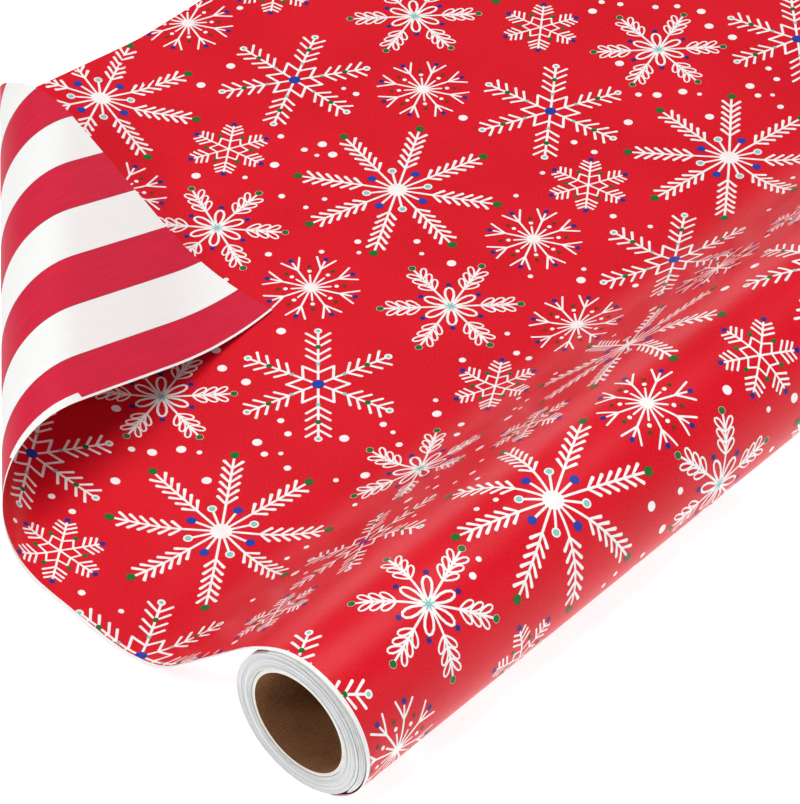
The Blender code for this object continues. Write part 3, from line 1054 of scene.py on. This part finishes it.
def slack_turns(materials):
    """The slack turns between the wound paper and the loose one, each a little off centre."""
    random = np.random.default_rng(SEED)
    for turn in range(1, SLACK_TURNS + 1):
        share = turn / (SLACK_TURNS + 1)
        centre_y = AXIS_Y + LOOSE_OFFSET_Y * share
        centre_z = AXIS_Z + LOOSE_OFFSET_Z * share
        radius = AXIS_Z + SLACK_GAP + SLACK_GROWTH * share
        inset = random.uniform(0.0, SLACK_INSET)
        low = math.radians(SLACK_FROM[0] + random.uniform(0.0, SLACK_FROM[1])) * radius
        high = math.radians(SLACK_TO[0] - random.uniform(0.0, SLACK_TO[1])) * radius

        def surface(s, t, lift):
            return around_axis(NEAR_X + s, radius + lift, t / radius, centre_y, centre_z)
        across = lines((inset, 40 * MM), (PAPER_WIDTH - inset,))
        patch = flat_patch(across, lines((low, 1.5 * MM), (high,)), lambda s, t: (s, t))
        bmesh.ops.reverse_faces(patch, faces=patch.faces[:])
        cut_printing_lines(patch)
        obj, area = bent_paper(f"slack_turn_{turn}", patch, surface, materials)
        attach(obj, "sheet")


def build_sheet(materials, prints):
    """The drawn-off length in three pieces: what lies still, the bend, and the turned-back corner."""
    paper, area = bent_paper("drawn_sheet", main_patch(), strip_surface, materials)
    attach(paper, "sheet")
    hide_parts(*[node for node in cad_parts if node.startswith(("loose_", "sheet_"))])
    for piece in prints["drawn_sheet_print"]:
        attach(piece, "sheet")

    patch, size = corner_patch(BEND_FROM_Q, BEND_TO_Q, BEND_ROW)
    bend, area = bent_paper("corner_bend_paper", patch, strip_surface, materials)
    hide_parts("corner_bend", "corner_crease")
    for piece in [bend] + prints["corner_bend_print"]:
        blend_corner(piece)

    patch, size = corner_patch(BEND_TO_Q, TIP_Q, FLAP_ROW)
    flap, area = bent_paper("turned_corner_paper", patch, strip_surface, materials)
    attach(flap, "corner")
    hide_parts("turned_corner")
    for piece in prints["turned_corner_print"]:
        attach(piece, "corner")


def build_roll(printed, ends, plain, marks, ink_materials):
    wound = wound_paper(printed, ends, plain)
    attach(wound, "roll")
    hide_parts("wound_paper")
    for piece in print_roll(marks, ink_materials):
        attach(piece, "roll")
    cut_end = cut_board()
    for index, (which, colour) in enumerate(KRAFT.items()):
        ply = core_ply(f"core_{which}_board", index, kraft(f"kraft_{which}", colour), cut_end)
        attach(ply, "roll")
        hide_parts(f"core_{which}_ply")
    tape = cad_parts["start_tape"]
    tape.data.materials.clear()
    tape.data.materials.append(clear_tape())


def add_floor():
    bpy.ops.mesh.primitive_grid_add(x_subdivisions=8, y_subdivisions=8, size=14.0)
    floor = bpy.context.object
    floor.name = "floor"
    floor.data.materials.append(floor_material())


def add_area_light(name, place, target, size, power):
    data = bpy.data.lights.new(name, "AREA")
    data.shape = "DISK"
    data.size = size
    data.energy = power
    obj = add_object(name, data)
    obj.location = place
    obj.rotation_euler = (Vector(target) - Vector(place)).to_track_quat("-Z", "Y").to_euler()


def add_sky():
    """Plain surroundings, bright near the horizon and dim above."""
    world = bpy.data.worlds.new("studio")
    world.use_nodes = True
    nodes = world.node_tree.nodes
    link = world.node_tree.links.new
    place = nodes.new("ShaderNodeTexCoord")
    height = nodes.new("ShaderNodeSeparateXYZ")
    level = nodes.new("ShaderNodeMapRange")
    link(place.outputs["Generated"], height.inputs[0])
    link(height.outputs["Z"], level.inputs["Value"])
    for key, value in (("From Min", 0.08), ("From Max", 0.38), ("To Min", SKY_LOW), ("To Max", SKY_HIGH)):
        level.inputs[key].default_value = value
    link(level.outputs[0], nodes["Background"].inputs["Strength"])
    nodes["Background"].inputs["Color"].default_value = (1.0, 1.0, 1.0, 1.0)
    bpy.context.scene.world = world


def add_lights():
    add_sky()
    add_area_light("overhead", (0.1, 0.2, 2.2), (0.0, 0.0, 0.0), size=2.0, power=46.0)
    add_area_light("end_side", (-1.05, 0.10, 0.80), (NEAR_X, AXIS_Y, AXIS_Z), size=0.25, power=3.2)
    add_area_light("roll_side", (0.3, -2.4, 1.5), (0.0, -0.1, 0.0), size=1.6, power=16.0)


def add_camera():
    data = bpy.data.cameras.new("camera")
    data.lens = CAMERA_LENS
    data.sensor_width = 36.0
    data.clip_start = 0.05
    data.clip_end = 50.0
    obj = add_object("camera", data)
    obj.location = CAMERA_PLACE
    obj.rotation_euler = (math.pi / 2 - CAMERA_PITCH, 0.0, -CAMERA_YAW)
    bpy.context.scene.camera = obj


def main():
    add_camera()
    add_lights()
    add_floor()
    printed = front_paper()
    plain = plain_paper("white_paper", WHITE_PAPER, 0.6)
    edge = plain_paper("paper_edge", (0.88, 0.88, 0.87), 0.7)
    crimson = reverse_paper("reverse_crimson", scaled(CRIMSON, 0.84), CRIMSON)
    white = reverse_paper("reverse_white", scaled(WHITE_PAPER, 0.97), WHITE_PAPER)
    overlap = reverse_paper("reverse_overlap", scaled(CRIMSON, 0.45), scaled(CRIMSON, 0.55))
    materials = [printed, plain, crimson, white, edge, overlap]
    ink_materials = {name: ink(name, colour) for name, colour in INKS.items()}
    marks = repeat_artwork()
    build_sheet(materials, print_strip(marks, ink_materials))
    slack_turns(materials)
    build_roll(printed, roll_ends(), plain, marks, ink_materials)
    bpy.context.scene.view_settings.view_transform = "Standard"


main()
